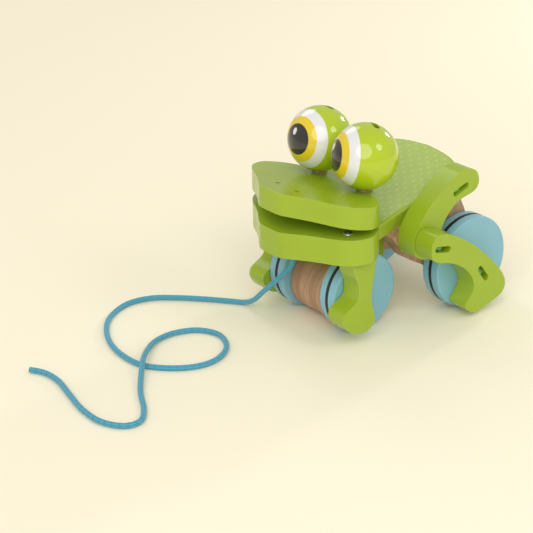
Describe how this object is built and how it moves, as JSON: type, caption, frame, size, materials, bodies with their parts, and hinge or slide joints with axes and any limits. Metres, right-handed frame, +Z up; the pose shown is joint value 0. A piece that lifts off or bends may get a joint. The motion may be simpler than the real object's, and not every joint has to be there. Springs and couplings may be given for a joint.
{
  "type": "pull-along jumping frog",
  "caption": "Painted wooden pull-along frog with big ball eyes, slotted jointed hind legs, off-centre light blue wheels and a blue pull cord.",
  "frame": {"origin": "middle of the frog's own box on the floor, measured without the pull cord", "axes": "the frog faces -Y, its rear is +Y, its left side is +X and Z is up"},
  "size_m": [0.1992, 0.3758, 0.1655],
  "materials": {
    "green_paint": "satin enamel over wood",
    "eye_paint": "gloss enamel over wood",
    "blue_paint": "satin enamel over wood",
    "bare_wood": "lightly oiled",
    "black_rubber": "matte",
    "steel": "drawn rod",
    "green_elastic": "braided elastic",
    "eye_elastic": "braided elastic",
    "blue_braid": "tight round braid"
  },
  "bodies": {
    "frog": {"torso": "green_paint", "neck_block": "green_paint", "lower_jaw": "green_paint", "upper_jaw": "green_paint", "jaw_tacks": "steel", "leg_dowels": "bare_wood", "eye_peg_left": "bare_wood", "eye_peg_right": "bare_wood", "front_leg_left": "green_paint", "front_leg_right": "green_paint", "front_drum": "bare_wood", "axle_washers": "steel", "rear_cheek_left": "bare_wood", "rear_cheek_right": "bare_wood", "hip_pin_left": "bare_wood", "hip_pin_right": "bare_wood", "pull_cord": "blue_braid", "cord_knot": "blue_braid"},
    "front_wheels": {"front_axle": "steel", "front_wheel_left": "blue_paint", "front_wheel_right": "blue_paint", "front_ring_left": "black_rubber", "front_ring_right": "black_rubber"},
    "rear_wheels": {"rear_axle": "steel", "rear_wheel_left": "blue_paint", "rear_wheel_right": "blue_paint", "rear_ring_left": "black_rubber", "rear_ring_right": "black_rubber"},
    "left_thigh": {"thigh_left": "green_paint", "hip_elastic_left": "green_elastic", "knee_pin_left": "bare_wood"},
    "left_shin": {"shin_left": "green_paint", "knee_elastic_left": "green_elastic", "foot_elastic_left": "green_elastic"},
    "left_eye": {"eye_left": "eye_paint", "eye_elastic_left": "eye_elastic"},
    "right_thigh": {"thigh_right": "green_paint", "hip_elastic_right": "green_elastic", "knee_pin_right": "bare_wood"},
    "right_shin": {"shin_right": "green_paint", "knee_elastic_right": "green_elastic", "foot_elastic_right": "green_elastic"},
    "right_eye": {"eye_right": "eye_paint", "eye_elastic_right": "eye_elastic"}
  },
  "joints": [
    {"name": "front_roll", "type": "hinge", "parent": "frog", "child": "front_wheels", "pos_m": [0, -0.03475, 0.026], "axis": [1, 0, 0], "continuous": true},
    {"name": "rear_roll", "type": "hinge", "parent": "frog", "child": "rear_wheels", "pos_m": [0, 0.05975, 0.033], "axis": [1, 0, 0], "continuous": true},
    {"name": "left_hip", "type": "hinge", "parent": "frog", "child": "left_thigh", "pos_m": [0.0529, 0.04545, 0.103], "axis": [1, 0, 0], "range_deg": [-8, 2], "stiffness_Nm_per_rad": 1.5},
    {"name": "left_knee", "type": "hinge", "parent": "left_thigh", "child": "left_shin", "pos_m": [0.0711, 0.00905, 0.07], "axis": [1, 0, 0], "range_deg": [-12, 4], "stiffness_Nm_per_rad": 1},
    {"name": "left_eye_turn", "type": "hinge", "parent": "frog", "child": "left_eye", "pos_m": [0.0262, -0.02425, 0.1395], "axis": [0, 0, 1], "range_deg": [-30, 30], "stiffness_Nm_per_rad": 0.1},
    {"name": "right_hip", "type": "hinge", "parent": "frog", "child": "right_thigh", "pos_m": [-0.0529, 0.04545, 0.103], "axis": [1, 0, 0], "range_deg": [-8, 2], "stiffness_Nm_per_rad": 1.5},
    {"name": "right_knee", "type": "hinge", "parent": "right_thigh", "child": "right_shin", "pos_m": [-0.0711, 0.00905, 0.07], "axis": [1, 0, 0], "range_deg": [-12, 4], "stiffness_Nm_per_rad": 1},
    {"name": "right_eye_turn", "type": "hinge", "parent": "frog", "child": "right_eye", "pos_m": [-0.0262, -0.02425, 0.1395], "axis": [0, 0, 1], "range_deg": [-30, 30], "stiffness_Nm_per_rad": 0.1}
  ]
}
